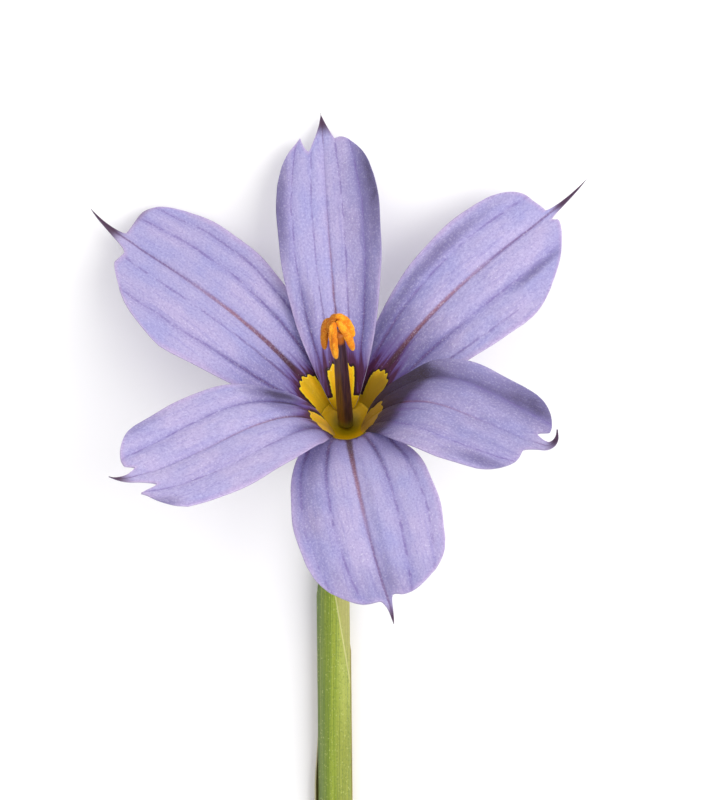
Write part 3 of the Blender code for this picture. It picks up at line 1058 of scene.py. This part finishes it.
    def shell(self, pose: FlowerPose) -> Shell:
        """Thickens the sheet into a closed solid, thinner toward its margin, and marks it for its pigments.

        Args:
            pose: where the flower stands.

        Returns:
            The shell.
        """
        middle, share, across, offset = self.surface()
        normal = normals(middle)
        thick = self.margin_thickness + (self.middle_thickness - self.margin_thickness) * (1 - across**4)
        thick = thick * (1 - 0.5 * smooth_step(share, 0.85, 1 + self.awn))
        half = thick[..., None] / 2 * normal
        middle = middle + LIFT[self.whorl] * normal
        along = share * self.length
        width = self.half_width_at(share, across)
        margin = np.minimum((1 - np.abs(across)) * width, (self.ends(across) - share) * self.length)
        away = np.stack([np.abs(across - place) for place, depth in self.folds])
        depths = np.array([depth for place, depth in self.folds])
        depth = depths[away.argmin(axis=0)] / depths.max()
        eye = self.eye_distance(along, offset)
        seed = 10 * self.chance

        def both(first: np.ndarray, second: np.ndarray, third: np.ndarray | float, last: float) -> np.ndarray:
            """Stacks three measures for the face, and for the back with the last one in the third's place."""
            return np.stack([stacked(first, second, third), stacked(first, second, last)])

        fields = {
            "flow": both(along, offset, seed, seed + 3),
            "place": both(share, depth, 0.0, 1.0),
            "reach": both(margin, away.min(axis=0) * width, eye, FAR),
            "tone": both(np.abs(offset), self.stain(share, across), eye / self.halo, FAR),
        }
        drop = UP * self.settle * smooth_step(share, 0.2, 0.95)[..., None]
        return closed_sheet(pose.place(middle + half) - drop, pose.place(middle - half) - drop, fields)


@dataclass
class Corolla:
    """The six tepals, which overlap by turns: three inner ones over three outer ones."""

    pose: FlowerPose
    tepals: tuple[Tepal, ...] = (
        Tepal(
            "inner_tepal_top", Whorl.INNER, azimuth=-5, bend=3, length=11.7, half_width=2.1,
            slopes=(62, 42, 27, 16, 9, 7), widest=0.66, skew=0.02, settle=-0.25, curl=(-0.15, 0.3),
            awn=0.105, awn_turn=-5, awn_lift=12, taper=1.1,
            left=EndHalf(notch=0.945, notch_at=0.36, lobe=0.98, lobe_at=0.62, shoulder=0.82, horn=0.025),
            right=EndHalf(notch=0.995, notch_at=0.3, lobe=1.0, lobe_at=0.45, shoulder=0.82),
            folds=((-0.7, 0.05), (-0.3, 0.015), (0.3, 0.02), (0.68, 0.06)),
            # Patches of painted shade on the curled margins, with some violet pigment.
            stains=(
                (0.8, 0.95, 0.25, 0.2, 1.2), (0.72, -0.95, 0.25, 0.2, 1.2), (0.35, -0.6, 0.14, 0.16, 0.6),
                (0.3, 0.75, 0.16, 0.3, 0.4), (0.65, 0.7, 0.3, 0.08, 0.5), (0.7, 0.55, 0.5, 0.45, 0.55),
            ),
            eye_length=1.9, eye_half_width=0.56, halo=1.1, chance=0.1,
        ),
        Tepal(
            "inner_tepal_left", Whorl.INNER, azimuth=-132, bend=9, length=11.2, half_width=2.55,
            slopes=(66, 54, 27, 9, 11, 18), claw=0.1, fill=(1.15, 1.15), wrap=(0.2, 0.7), root_roll=18,
            awn=0.09, awn_turn=35, awn_lift=15, taper=1.4,
            left=EndHalf(notch=0.94, notch_at=0.34, lobe=1.0, lobe_at=0.5, shoulder=0.9, horn=0.01),
            right=EndHalf(notch=0.97, notch_at=0.2, lobe=1.0, lobe_at=0.35, shoulder=0.86),
            folds=((-0.5, 0.05), (0.52, 0.08)),
            # Patches of painted shade in the folds and near the root, with some violet pigment.
            stains=(
                (0.25, 0.75, 0.12, 0.22, 0.9), (0.3, 0.3, 0.1, 0.3, 0.8), (0.28, 0.8, 0.14, 0.3, 0.8),
                (0.27, -0.5, 0.12, 0.3, 0.6), (0.22, 0.5, 0.12, 0.08, 1.2), (0.24, -0.45, 0.14, 0.1, 1.0),
                (0.97, -0.85, 0.08, 0.2, 0.8), (0.85, 0.95, 0.2, 0.12, 0.6), (0.6, 0.52, 0.25, 0.07, 0.4),
            ),
            eye_length=2.0, eye_half_width=0.5, halo=0.9, chance=0.35,
        ),
        Tepal(
            "inner_tepal_right", Whorl.INNER, azimuth=115, bend=-2, length=9.4, half_width=2.4,
            slopes=(64, 57, 30, -8, -10, -5), skew=0.02, claw=0.1, fill=(1.1, 1.3), wrap=(0.7, 0.2),
            root_roll=-18, awn=0.12, awn_turn=-150, awn_lift=100,
            left=EndHalf(notch=0.955, notch_at=0.2, lobe=1.0, lobe_at=0.4, shoulder=0.88),
            right=EndHalf(notch=0.93, notch_at=0.3, lobe=0.93, lobe_at=0.42, shoulder=0.74),
            folds=((-0.58, 0.07), (0.6, 0.05)),
            # Patches of painted shade: this tepal turns from the key light; some violet pigment.
            stains=(
                (0.2, -0.65, 0.2, 0.45, 2.6), (0.2, 0.0, 0.14, 1.5, 3.2), (0.9, -0.8, 0.15, 0.35, 0.8),
                (0.7, -0.7, 0.3, 0.25, 0.35), (0.22, 0.5, 0.15, 0.3, 0.9), (0.8, 0.8, 0.12, 0.12, 0.6),
                (0.55, -0.6, 0.3, 0.1, 0.6), (0.5, -0.1, 1.0, 2.0, 0.55),
            ),
            eye_length=1.9, eye_half_width=0.5, halo=1.7, chance=0.6,
        ),
        Tepal(
            "outer_tepal_left", Whorl.OUTER, azimuth=-53, bend=2, length=11.4, half_width=3.1,
            slopes=(58, 38, 22, 11, 4, 2), skew=-0.09, widest=0.75, narrow=0.15, settle=0.4,
            awn=0.19, awn_turn=18, taper=2.6,
            left=EndHalf(notch=0.955, notch_at=0.24, lobe=0.955, lobe_at=0.4, shoulder=0.6, rounding=1.3),
            right=EndHalf(notch=1.01, notch_at=0.1, lobe=1.03, lobe_at=0.6, shoulder=0.86),
            folds=((-0.64, 0.05), (-0.25, 0.015), (0.48, 0.05), (0.8, 0.04)),
            # Patches of painted shade, with some violet pigment.
            stains=((0.2, 0.6, 0.12, 0.3, 0.8), (0.24, -0.5, 0.15, 0.5, 0.6), (0.6, 0.8, 0.2, 0.06, 0.4)),
            eye_length=1.8, eye_half_width=0.46, halo=0.8, chance=0.8,
        ),
        Tepal(
            "outer_tepal_right", Whorl.OUTER, azimuth=49, bend=-2.5, length=11.7, half_width=2.7,
            slopes=(60, 38, 21, 9, 1, -1), roll=-4, tip_roll=-16, skew=0.16, widest=0.75, narrow=0.15,
            settle=0.4, awn=0.205, awn_turn=-12, taper=2.1,
            left=EndHalf(notch=0.99, notch_at=0.1, lobe=0.98, lobe_at=0.5, shoulder=0.82),
            right=EndHalf(notch=0.985, notch_at=0.1, lobe=1.0, lobe_at=0.17, shoulder=0.61, rounding=1.5),
            folds=((-0.56, 0.06), (0.44, 0.09), (0.8, 0.02)),
            # Patches of painted shade, one over the yellow patch, with some violet pigment.
            stains=(
                (0.06, 0.1, 0.09, 1.0, 1.6), (0.8, 0.5, 0.12, 0.07, 1.0), (0.6, -0.75, 0.3, 0.14, 0.8),
                (0.25, 0.3, 0.15, 0.4, 0.7), (0.25, -0.5, 0.15, 0.4, 0.8), (0.4, 0.0, 0.4, 1.5, 0.3),
            ),
            eye_length=1.9, eye_half_width=0.38, halo=1.3, chance=0.25,
        ),
        Tepal(
            "outer_tepal_low", Whorl.OUTER, azimuth=175, bend=-11, length=11.1, half_width=2.85,
            slopes=(62, 37, 17, 3, -5, -8), widest=0.66, skew=-0.03,
            awn=0.08, awn_turn=10, awn_lift=-10, taper=2.2,
            left=EndHalf(notch=0.97, notch_at=0.12, lobe=0.98, lobe_at=0.3, shoulder=0.8),
            right=EndHalf(notch=0.985, notch_at=0.16, lobe=0.985, lobe_at=0.3, shoulder=0.8),
            folds=((-0.82, 0.04), (-0.44, 0.06), (0.45, 0.06), (0.85, 0.04)),
            # Patches of painted shade, with some violet pigment.
            stains=(
                (0.2, 0.5, 0.15, 0.4, 0.5), (0.5, 0.75, 0.4, 0.3, 0.6), (0.6, -0.12, 0.4, 0.1, 0.4),
                (0.95, 0.0, 0.15, 1.0, 0.5),
            ),
            eye_length=0.9, halo=0.6, chance=0.5,
        ),
    )

    def build(self) -> None:
        """Builds each tepal and dresses it."""
        tissue = TEPAL_TISSUE.build()
        for tepal in self.tepals:
            add_piece(f"{tepal.node}_blade", tepal.shell(self.pose), tissue, tepal.node)


# Stamens


@dataclass(frozen=True)
class Anther:
    """One anther: the upper and lower end of each of its two sacs, and how much painted shade browns it, 0 to
    1.
    """

    node: str
    sacs: tuple[tuple[Triple, Triple], ...]
    age: float = 0.0


@dataclass
class Stamens:
    """The column of joined filaments and the three anthers on it, each with two drooping sacs.

    The slit's angle is in half turns, and its twist and spread are in radians, as the column's brown side is.
    """

    pose: FlowerPose
    column_foot: float = 0.05
    column_length: float = 5.7
    foot_radius: float = 0.33
    middle_radius: float = 0.3
    top_radius: float = 0.22
    groove: float = 0.1
    brown_side: float = 0.5
    sac_radius: float = 0.17
    sac_bulge: float = 0.16
    sac_root: float = 0.12
    sac_rise: float = 0.05
    slit_depth: float = 0.32
    slit_angle: float = 1.35
    slit_twist: float = 0.5
    slit_spread: float = 0.3
    lump_height: float = 0.05
    anthers: tuple[Anther, ...] = (
        Anther(
            "anther_left",
            (((-0.42, 0.42, 6.05), (-0.58, -0.26, 5.05)), ((-0.1, 0.42, 6.25), (-0.38, 0.02, 5.7))),
            # This anther is browned all over by painted shade.
            age=1.0,
        ),
        Anther(
            "anther_front",
            (((-0.2, 0.1, 6.15), (-0.14, -0.5, 4.75)), ((0.02, 0.18, 6.15), (0.52, -0.3, 4.98))),
        ),
        Anther(
            "anther_right",
            (((0.1, 0.44, 6.2), (0.55, 0.0, 5.45)), ((-0.02, 0.4, 6.28), (0.28, 0.14, 5.75))),
        ),
    )

    def column(self) -> Shell:
        """The column: a round section with three grooves between its filaments, narrowing to its top.

        The radius runs through foot, middle and top as a parabola, less a groove depth times the cube of
        half of one plus the cosine of three times the angle.

        Returns:
            The shell.
        """
        along = rows_down(70)
        angle = full_turn(48)
        drop = 2 * self.foot_radius - 4 * self.middle_radius + 2 * self.top_radius
        slope = -3 * self.foot_radius + 4 * self.middle_radius - self.top_radius
        radius = self.foot_radius + slope * along + drop * along**2
        radius = radius * (1 - self.groove * (0.5 + 0.5 * np.cos(3 * angle)) ** 3)
        path = UP * (self.column_foot + self.column_length * along)
        rings = sweep(path, RIGHT, *round_section(radius, angle))
        fields = {
            "place": stacked(along, -np.cos(angle - self.brown_side), 0.0),
            "flow": stacked(along * self.column_length, self.foot_radius * angle, 0.0),
        }
        return closed_tube(self.pose.place(rings), fields)

    def sac(self, top: np.ndarray, low: np.ndarray, age: float) -> Shell:
        """One sac: a plump pod that bows outward, with a slit along its outer side and a grainy skin.

        Its radius is a flattened half circle of the way along. The slit is a bell curve round the outer side,
        and the faint lumps are a product of waves.

        Args:
            top: its upper end in the flower's frame.
            low: its lower end.
            age: how much painted shade browns its pollen, 0 to 1.

        Returns:
            The shell.
        """
        along = 0.004 + 0.992 * rows_down(48)
        angle = full_turn(32)
        outward = unit((low + top) * (1 - UP))
        knots = (
            top - outward * self.sac_root,
            top + outward * self.sac_bulge + UP * self.sac_rise,
            low + outward * self.sac_bulge * 0.6 + (top - low) * 0.3,
            low,
        )
        full = (1 - np.abs(2 * along - 1) ** 3.2) ** 0.5 * (0.82 + 0.18 * np.sin(np.pi * along))
        away = angle - self.slit_angle * np.pi - self.slit_twist * along
        slit = 1 - self.slit_depth * bell(away, self.slit_spread) * np.sin(np.pi * along)
        lumps = np.sin(9 * np.pi * along + 2 * np.cos(angle)) * np.cos(2 * angle + 3 * along)
        radius = self.sac_radius * full * slit * (1 + self.lump_height * lumps)
        rings = sweep(bezier(knots, along), np.cross(outward, UP), *round_section(radius, angle))
        return closed_tube(self.pose.place(rings), {"place": stacked(along, slit**2, age)})

    def build(self) -> None:
        """Builds the column and the anthers and dresses them."""
        tissue = FILAMENT_TISSUE.build()
        add_piece("staminal_column_filaments", self.column(), tissue, "staminal_column")
        crust = POLLEN_CRUST.build()
        for anther in self.anthers:
            shells = [self.sac(np.array(top), np.array(low), anther.age) for top, low in anther.sacs]
            add_piece(f"{anther.node}_sacs", Shell.joined(shells), crust, anther.node)


# Spathe and stem


@dataclass
class Spathe:
    """The two folded leaves at the stem's top. Places along it are in Y, measured from the flower's root."""

    root: np.ndarray
    line: tuple[tuple[float, float], ...] = ((-28.0, -0.4), (-15.0, -0.45), (-7.0, -0.53), (-3.0, -0.55))
    foot: float = -17.3
    outer_tip: float = -3.6
    inner_tip: float = -6.6
    outer_half_width: float = 0.67
    inner_half_width: float = 0.66
    outer_edge_height: float = 0.75
    outer_keel_height: float = 1.42
    inner_height: float = 0.13
    inner_trough: float = 0.5
    keel: float = -0.15
    foot_height: float = 0.93
    foot_drop: float = 0.44
    clasp_share: float = 0.17
    tip_share: float = 0.25
    outer_clasp: float = 0.07
    inner_clasp: float = 0.1
    inner_foot_drop: float = 0.17
    inner_shift: float = 0.02
    flare: float = 0.16
    flare_run: tuple[float, float] = (12.3, 15.0)
    tip_drop: float = 0.15
    thickness: float = 0.1
    inner_thickness: float = 0.08
    ripple: float = 0.012
    ripples: int = 9
    paper_start: tuple[float, float] = (-7.1, 0.1)
    paper_end: tuple[float, float] = (-11.5, 0.8)

    def middle(self, y: np.ndarray | float) -> tuple[np.ndarray | float, np.ndarray | float]:
        """The place of the spathe's middle line in the frame, for a Y measured from the flower's root."""
        places, shifts = zip(*self.line)
        return self.root[0] + np.interp(y, places, shifts), self.root[1] + y

    def blank(self, tip: float, rows: int, columns: int) -> tuple[np.ndarray, ...]:
        """What both leaves are cut from.

        Args:
            tip: the leaf's tip, in Y from the flower's root.
            rows: how many rows its grid has.
            columns: how many columns.

        Returns:
            Shares along, shares across from -1 to 1, places in Y, how much of the width a power of the way
            leaves before the tip, and how far the foot clasps the stem, by a smooth step from 1 to 0.
        """
        along = rows_down(rows)
        left = np.clip((1 - along) / self.tip_share, 0.02, 1) ** 0.6
        clasp = smooth_step(along, self.clasp_share, 0.0)
        return along, np.linspace(-1, 1, columns)[None, :], self.foot + (tip - self.foot) * along, left, clasp

    def leaf(self, points: np.ndarray, thick: np.ndarray, place: np.ndarray) -> Shell:
        """Thickens a leaf's upper face downward into a closed shell.

        Args:
            points: the face, rows by columns by 3.
            thick: the thickness, one row.
            place: the vectors that its material reads.

        Returns:
            The shell.
        """
        lower = points - thick[..., None] * normals(points)
        return closed_sheet(points, lower, {"place": np.stack([place, place])})

    def outer_leaf(self) -> Shell:
        """The outer leaf: a keeled roof over the stalk, pointed at its tip, with a papery right margin.

        Its height is the keel's, less a power of the distance from the keel, so that both sides fall to the
        edges. Toward its foot it lowers and draws in to clasp the stem.

        Returns:
            The shell.
        """
        along, across, y, left, clasp = self.blank(self.outer_tip, 220, 61)
        half = self.outer_half_width * left + self.outer_clasp * clasp
        x, y_world = self.middle(y)
        keel = self.keel * (1 - clasp)
        away = np.where(across < keel, (keel - across) / (1 + keel), (across - keel) / (1 - keel))
        drop = self.outer_keel_height - self.outer_edge_height
        fall = (drop + (self.foot_drop - drop) * clasp) * away**2.2 * left**0.5
        ripple = self.ripple * np.cos(2 * np.pi * self.ripples * across) * (1 - across**4)
        crest = self.outer_keel_height + (self.foot_height - self.outer_keel_height) * clasp
        points = stacked(x + across * half, y_world, crest - fall + ripple - self.tip_drop * (1 - left))
        slant = (y - self.paper_start[0]) / (self.paper_end[0] - self.paper_start[0])
        paper = across * half - self.paper_start[1] - (self.paper_end[1] - self.paper_start[1]) * slant
        return self.leaf(points, self.thickness * (1 - 0.6 * across**6), stacked(along, across, paper))

    def inner_leaf(self) -> Shell:
        """The inner leaf: a shallow trough below the stalk, whose edges rise and show past the outer leaf.

        Returns:
            The shell.
        """
        along, across, y, left, clasp = self.blank(self.inner_tip, 200, 49)
        flare = np.where(across < 0, self.flare * smooth_step(-y, *self.flare_run), 0.0) * np.abs(across)
        half = self.inner_half_width * left + self.inner_clasp * clasp
        x, y_world = self.middle(y)
        height = self.inner_height + (self.inner_trough - self.inner_foot_drop * clasp) * across**2 * left
        points = stacked(x + self.inner_shift + across * half - flare, y_world, height)
        return self.leaf(points, self.inner_thickness * (1 - 0.5 * across**6), stacked(along, across, 0.0))

    def build(self) -> None:
        """Builds both leaves and dresses them."""
        outer = ("outer_bract", self.outer_leaf(), BRACT_TISSUE)
        inner = ("inner_bract", self.inner_leaf(), DRY_BRACT_TISSUE)
        for node, shell, finish in (outer, inner):
            add_piece(f"{node}_leaf", shell, finish.build(), node)


@dataclass
class Stem:
    """The flattened stem with a wing along each side, cut off square at its far end."""

    spathe: Spathe
    top: float = -15.9
    end: float = -28.0
    half_width: float = 0.75
    half_depth: float = 0.4
    wing_share: float = 0.5
    rib_height: float = 0.03
    floor_gap: float = 0.06

    def shell(self) -> Shell:
        """The stem: an oval core drawn out into two thin wings, with fine ribs along it.

        At each angle the section reaches the half width times the cosine, and the half depth times the sine,
        thinned over the wings by a power of the cosine, and rippled by a cosine of many times the angle.

        Returns:
            The shell.
        """
        angle = full_turn(96)
        x, y = self.spathe.middle(self.end + (self.top - self.end) * rows_down(120)[:, 0])
        thin = 1 - self.wing_share * np.abs(np.cos(angle)) ** 3
        up = self.half_depth * np.sin(angle) * thin * (1 + self.rib_height * np.cos(18 * angle))
        path = stacked(x, y, self.half_depth + self.floor_gap)
        return closed_tube(sweep(path, RIGHT, self.half_width * np.cos(angle), up), {})

    def build(self) -> None:
        """Builds the stem and dresses it."""
        add_piece("stem_stalk", self.shell(), STEM_TISSUE.build(), "stem")


# Ovary and pedicel


@dataclass
class Ovary:
    """The green three-lobed ovary, the short cup on it that joins the tepals' feet, and its thin stalk.

    Each row of the cup has its radius, its height and how far outside it lies.
    """

    pose: FlowerPose
    spathe: Spathe
    top: float = 0.03
    length: float = 2.8
    radius: float = 1.0
    flare: float = 0.72
    lobing: float = 0.06
    cup: tuple[Triple, ...] = (
        (0.08, -0.15, 0.0), (0.3, -0.14, 0.0), (0.5, -0.1, 0.1), (0.7, -0.01, 0.3), (0.85, 0.09, 0.4),
        (0.95, 0.18, 0.5), (1.0, 0.22, 0.6), (1.025, 0.22, 0.8), (1.045, 0.18, 1.0), (1.045, 0.08, 1.0),
    )
    gap: float = 0.02
    stalk_radius: float = 0.28
    stalk_flare: float = 0.25
    stalk_flare_share: float = 0.04
    stalk_edges: float = 0.04
    stalk_end: float = -8.5
    stalk_shift: float = 0.05
    floor_gap: float = 0.25

    def body(self) -> Shell:
        """The ovary: part of a sine for its belly and a steep power for the flare under the cup.

        The radius is multiplied by one plus a little of the cosine of three times the angle, for the lobes.
        The cup's rows come before it, from its middle out and over its rim.

        Returns:
            The shell.
        """
        cup = np.array(self.cup)
        down = np.concatenate([np.zeros(len(cup)), np.linspace(0, 1, 90) ** 1.3])[:, None]
        angle = full_turn(72)[:, ::-1]
        belly = np.sin(np.pi * (0.1 + 0.86 * down**1.3))
        radius = self.radius * belly + self.flare * (1 - down) ** 8
        reach = radius * (1 + self.lobing * np.cos(3 * angle) * smooth_step(down, 0.1, 0.5))
        reach[: len(cup)] = cup[:, :1]
        height = self.top - self.length * down
        height[: len(cup)] += cup[:, 1:2]
        outside = np.ones_like(down)
        outside[: len(cup)] = cup[:, 2:]
        points = stacked(*round_section(reach, angle), height)
        furrow = 0.5 + 0.5 * np.cos(3 * angle)
        return closed_tube(self.pose.place(points), {"place": stacked(down, furrow, outside)})

    def pedicel(self) -> Shell:
        """The stalk: a round section along a curve from the ovary's foot down into the spathe.

        The radius is wider at the ovary, by a power of e, and has six faint edges.

        Returns:
            The shell.
        """
        foot = self.pose.place(UP * (self.top - self.length - self.gap))
        x = self.spathe.middle(self.spathe.inner_tip)[0] + self.stalk_shift
        end = np.array([x, self.pose.root()[1] + self.stalk_end, self.stalk_radius + self.floor_gap])
        reach = float(np.linalg.norm(foot - end))
        axis = self.pose.axes()[:, 2]
        knots = (foot, foot - axis * reach * 0.2, end + np.array([0.0, reach * 0.4, 0.0]), end)
        share = rows_down(120)
        angle = full_turn(32)
        radius = self.stalk_radius * (1 + self.stalk_flare * np.exp(-share / self.stalk_flare_share))
        radius = radius * (1 + self.stalk_edges * np.cos(6 * angle))
        return closed_tube(sweep(bezier(knots, share), RIGHT, *round_section(radius, angle)), {})

    def build(self) -> None:
        """Builds the ovary and its stalk and dresses them."""
        add_piece("ovary_body", self.body(), OVARY_TISSUE.build(), "ovary")
        add_piece("pedicel_stalk", self.pedicel(), PEDICEL_TISSUE.build(), "pedicel")


# Studio


@dataclass(frozen=True)
class Softbox:
    """A square soft light: its middle and its side in millimetres, and its power in watts."""

    name: str
    place: Triple
    side: float
    power: float

    def build(self) -> None:
        """Builds the light, facing the flower."""
        light = bpy.data.lights.new(self.name, "AREA")
        light.shape = "SQUARE"
        light.size = self.side * MM
        light.energy = self.power
        lamp = bpy.data.objects.new(self.name, light)
        lamp.location = Vector(self.place) * MM
        lamp.rotation_euler = (-lamp.location).to_track_quat("-Z", "Y").to_euler()
        bpy.context.scene.collection.objects.link(lamp)


@dataclass
class Studio:
    """A pale floor, soft light from the right, and the camera that looks straight down on the flower."""

    root: np.ndarray
    floor_side: float = 3000.0
    view_distance: float = 160.0
    view_width: float = 28.16
    picture: tuple[int, int] = (704, 800)
    look_at: tuple[float, float] = (0.24, 0.92)
    sensor: float = 36.0
    lights: tuple[Softbox, ...] = (
        Softbox("key_light", (300.0, -30.0, 380.0), 420.0, 1.6),
        Softbox("fill_light", (-260.0, 260.0, 380.0), 400.0, 0.35),
    )
    air_colour: str = "#fbfbff"
    air_strength: float = 0.85

    def floor(self) -> None:
        """The floor: a flat sheet, which is stage and not part of the flower."""
        half = self.floor_side / 2 * MM
        mesh = bpy.data.meshes.new("floor")
        corners = [(-half, -half, 0.0), (half, -half, 0.0), (half, half, 0.0), (-half, half, 0.0)]
        mesh.from_pydata(corners, [], [(0, 1, 2, 3)])
        mesh.materials.append(STUDIO_BOARD.build())
        floor = bpy.data.objects.new("floor", mesh)
        bpy.context.scene.collection.objects.link(floor)

    def camera(self) -> None:
        """The camera straight above, at the photograph's scale.

        Its lens is the sensor's side times the distance over the height of what it sees.
        """
        view_height = self.view_width * self.picture[1] / self.picture[0]
        lens = bpy.data.cameras.new("camera")
        lens.sensor_width = self.sensor
        lens.lens = self.sensor * self.view_distance / view_height
        lens.clip_start = 0.01
        lens.clip_end = 20.0
        eye = bpy.data.objects.new("camera", lens)
        place = self.root + np.array([*self.look_at, self.view_distance])
        eye.location = Vector(place.tolist()) * MM
        bpy.context.scene.collection.objects.link(eye)
        bpy.context.scene.camera = eye

    def build(self) -> None:
        """Builds the floor, the lights, the air and the camera."""
        self.floor()
        for light in self.lights:
            light.build()
        world = bpy.data.worlds.new("studio_air")
        world.use_nodes = True
        air = world.node_tree.nodes["Background"]
        air.inputs["Color"].default_value = linear(self.air_colour)
        air.inputs["Strength"].default_value = self.air_strength
        scene = bpy.context.scene
        scene.world = world
        scene.view_settings.view_transform = "Standard"
        self.camera()


def main() -> None:
    """Builds the flower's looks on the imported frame."""
    logging.basicConfig(level=logging.INFO, format="%(name)s %(message)s")
    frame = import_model()
    pose = FlowerPose(frame["nodes"]["staminal_column"])
    spathe = Spathe(pose.root())
    Studio(pose.root()).build()
    Corolla(pose).build()
    Stamens(pose).build()
    Ovary(pose, spathe).build()
    spathe.build()
    Stem(spathe).build()


if __name__ == "__main__":
    main()
